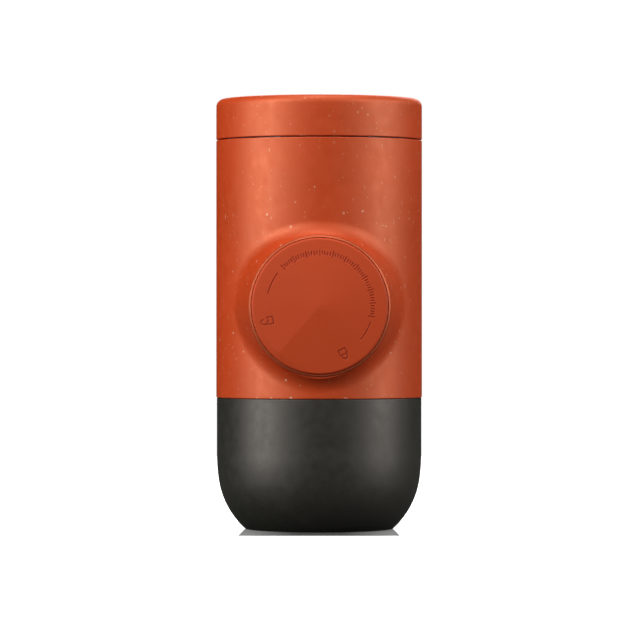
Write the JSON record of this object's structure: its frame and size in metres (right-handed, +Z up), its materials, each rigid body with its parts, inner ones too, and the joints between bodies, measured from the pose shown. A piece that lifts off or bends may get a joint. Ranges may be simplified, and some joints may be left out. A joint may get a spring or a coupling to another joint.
{
  "type": "handheld manual espresso maker",
  "caption": "Handheld hand-pump espresso maker: round-bottomed cup below, push-and-turn pump knob on the side of a tubular body, and a screw lid over the water tank.",
  "frame": {"origin": "centre of the cup's flat base, on which the maker stands", "axes": "+Z up along the body, -Y towards the pump knob, +X to the right of someone who faces the knob"},
  "size_m": [0.07, 0.0758, 0.1462],
  "materials": {
    "shell_plastic": "satin orange-red with fine pale flecks",
    "knob_plastic": "fine matt orange-red",
    "cup_plastic": "satin warm dark grey",
    "guide_metal": "bronze-tinted anodised",
    "dark_plastic": "matt charcoal",
    "clear_plastic": "clear smoke",
    "steel": "plain stainless",
    "silicone": "matt grey silicone"
  },
  "bodies": {
    "body": {"body_shell": "shell_plastic", "brew_head": "dark_plastic", "cup_seal": "silicone", "shower_screen": "steel", "screen_screw": "steel", "brew_gasket": "silicone", "shell_screws": "steel", "pump_screws": "steel", "outlet_valve": "silicone", "inlet_valve": "silicone", "pump_housing": "dark_plastic", "cylinder_liner": "steel", "gland_bush": "dark_plastic", "knob_guide": "guide_metal", "guide_screws": "steel", "water_tank": "clear_plastic", "tank_port_seal": "silicone", "tank_strainer": "steel"},
    "piston": {"piston_rod": "dark_plastic", "piston_rings": "silicone", "return_spring": "steel", "thrust_washer": "dark_plastic", "knob_clip": "steel"},
    "knob": {"knob_cap": "knob_plastic", "knob_hub": "dark_plastic"},
    "lid_seal_carrier": {"lid_seal": "silicone"},
    "lid": {"lid_cover": "shell_plastic", "lid_cap": "dark_plastic", "vent_valve": "silicone"},
    "basket": {"filter_basket": "steel"},
    "outlet": {"outlet_head": "dark_plastic", "outlet_nozzle": "steel", "valve_spring": "steel"},
    "valve": {"valve_poppet": "steel"},
    "cup": {"espresso_cup": "cup_plastic"}
  },
  "joints": [
    {"name": "pump_stroke", "type": "slide", "parent": "body", "child": "piston", "axis": [0, -1, 0], "range_m": [0, 0.011], "deforming": ["return_spring"]},
    {"name": "knob_lock_turn", "type": "hinge", "parent": "piston", "child": "knob", "pos_m": [0, -0.0385, 0.0757], "axis": [0, -1, 0], "range_deg": [0, 90]},
    {"name": "lid_lift", "type": "slide", "parent": "body", "child": "lid_seal_carrier", "axis": [0, 0, 1], "range_m": [0, 0.0045]},
    {"name": "lid_turn", "type": "hinge", "parent": "lid_seal_carrier", "child": "lid", "pos_m": [0, 0, 0.1346], "axis": [0, 0, 1], "range_deg": [0, 540]},
    {"name": "outlet_drop", "type": "slide", "parent": "body", "child": "basket", "axis": [0, 0, -1], "range_m": [0, 0.0045]},
    {"name": "outlet_turn", "type": "hinge", "parent": "basket", "child": "outlet", "pos_m": [0, 0, 0.0416], "axis": [0, 0, -1], "range_deg": [0, 540]},
    {"name": "valve_lift", "type": "slide", "parent": "outlet", "child": "valve", "axis": [0, 0, -1], "range_m": [0, 0.0012], "stiffness_N_per_m": 300, "springref_m": -0.002, "deforming": ["valve_spring"]},
    {"name": "cup_pull", "type": "slide", "parent": "body", "child": "cup", "axis": [0, 0, -1], "range_m": [0, 0.05]}
  ],
  "couplings": [
    {"joint": "lid_lift", "follows": "lid_turn", "m_per_rad": 0.000477},
    {"joint": "outlet_drop", "follows": "outlet_turn", "m_per_rad": 0.000477}
  ]
}
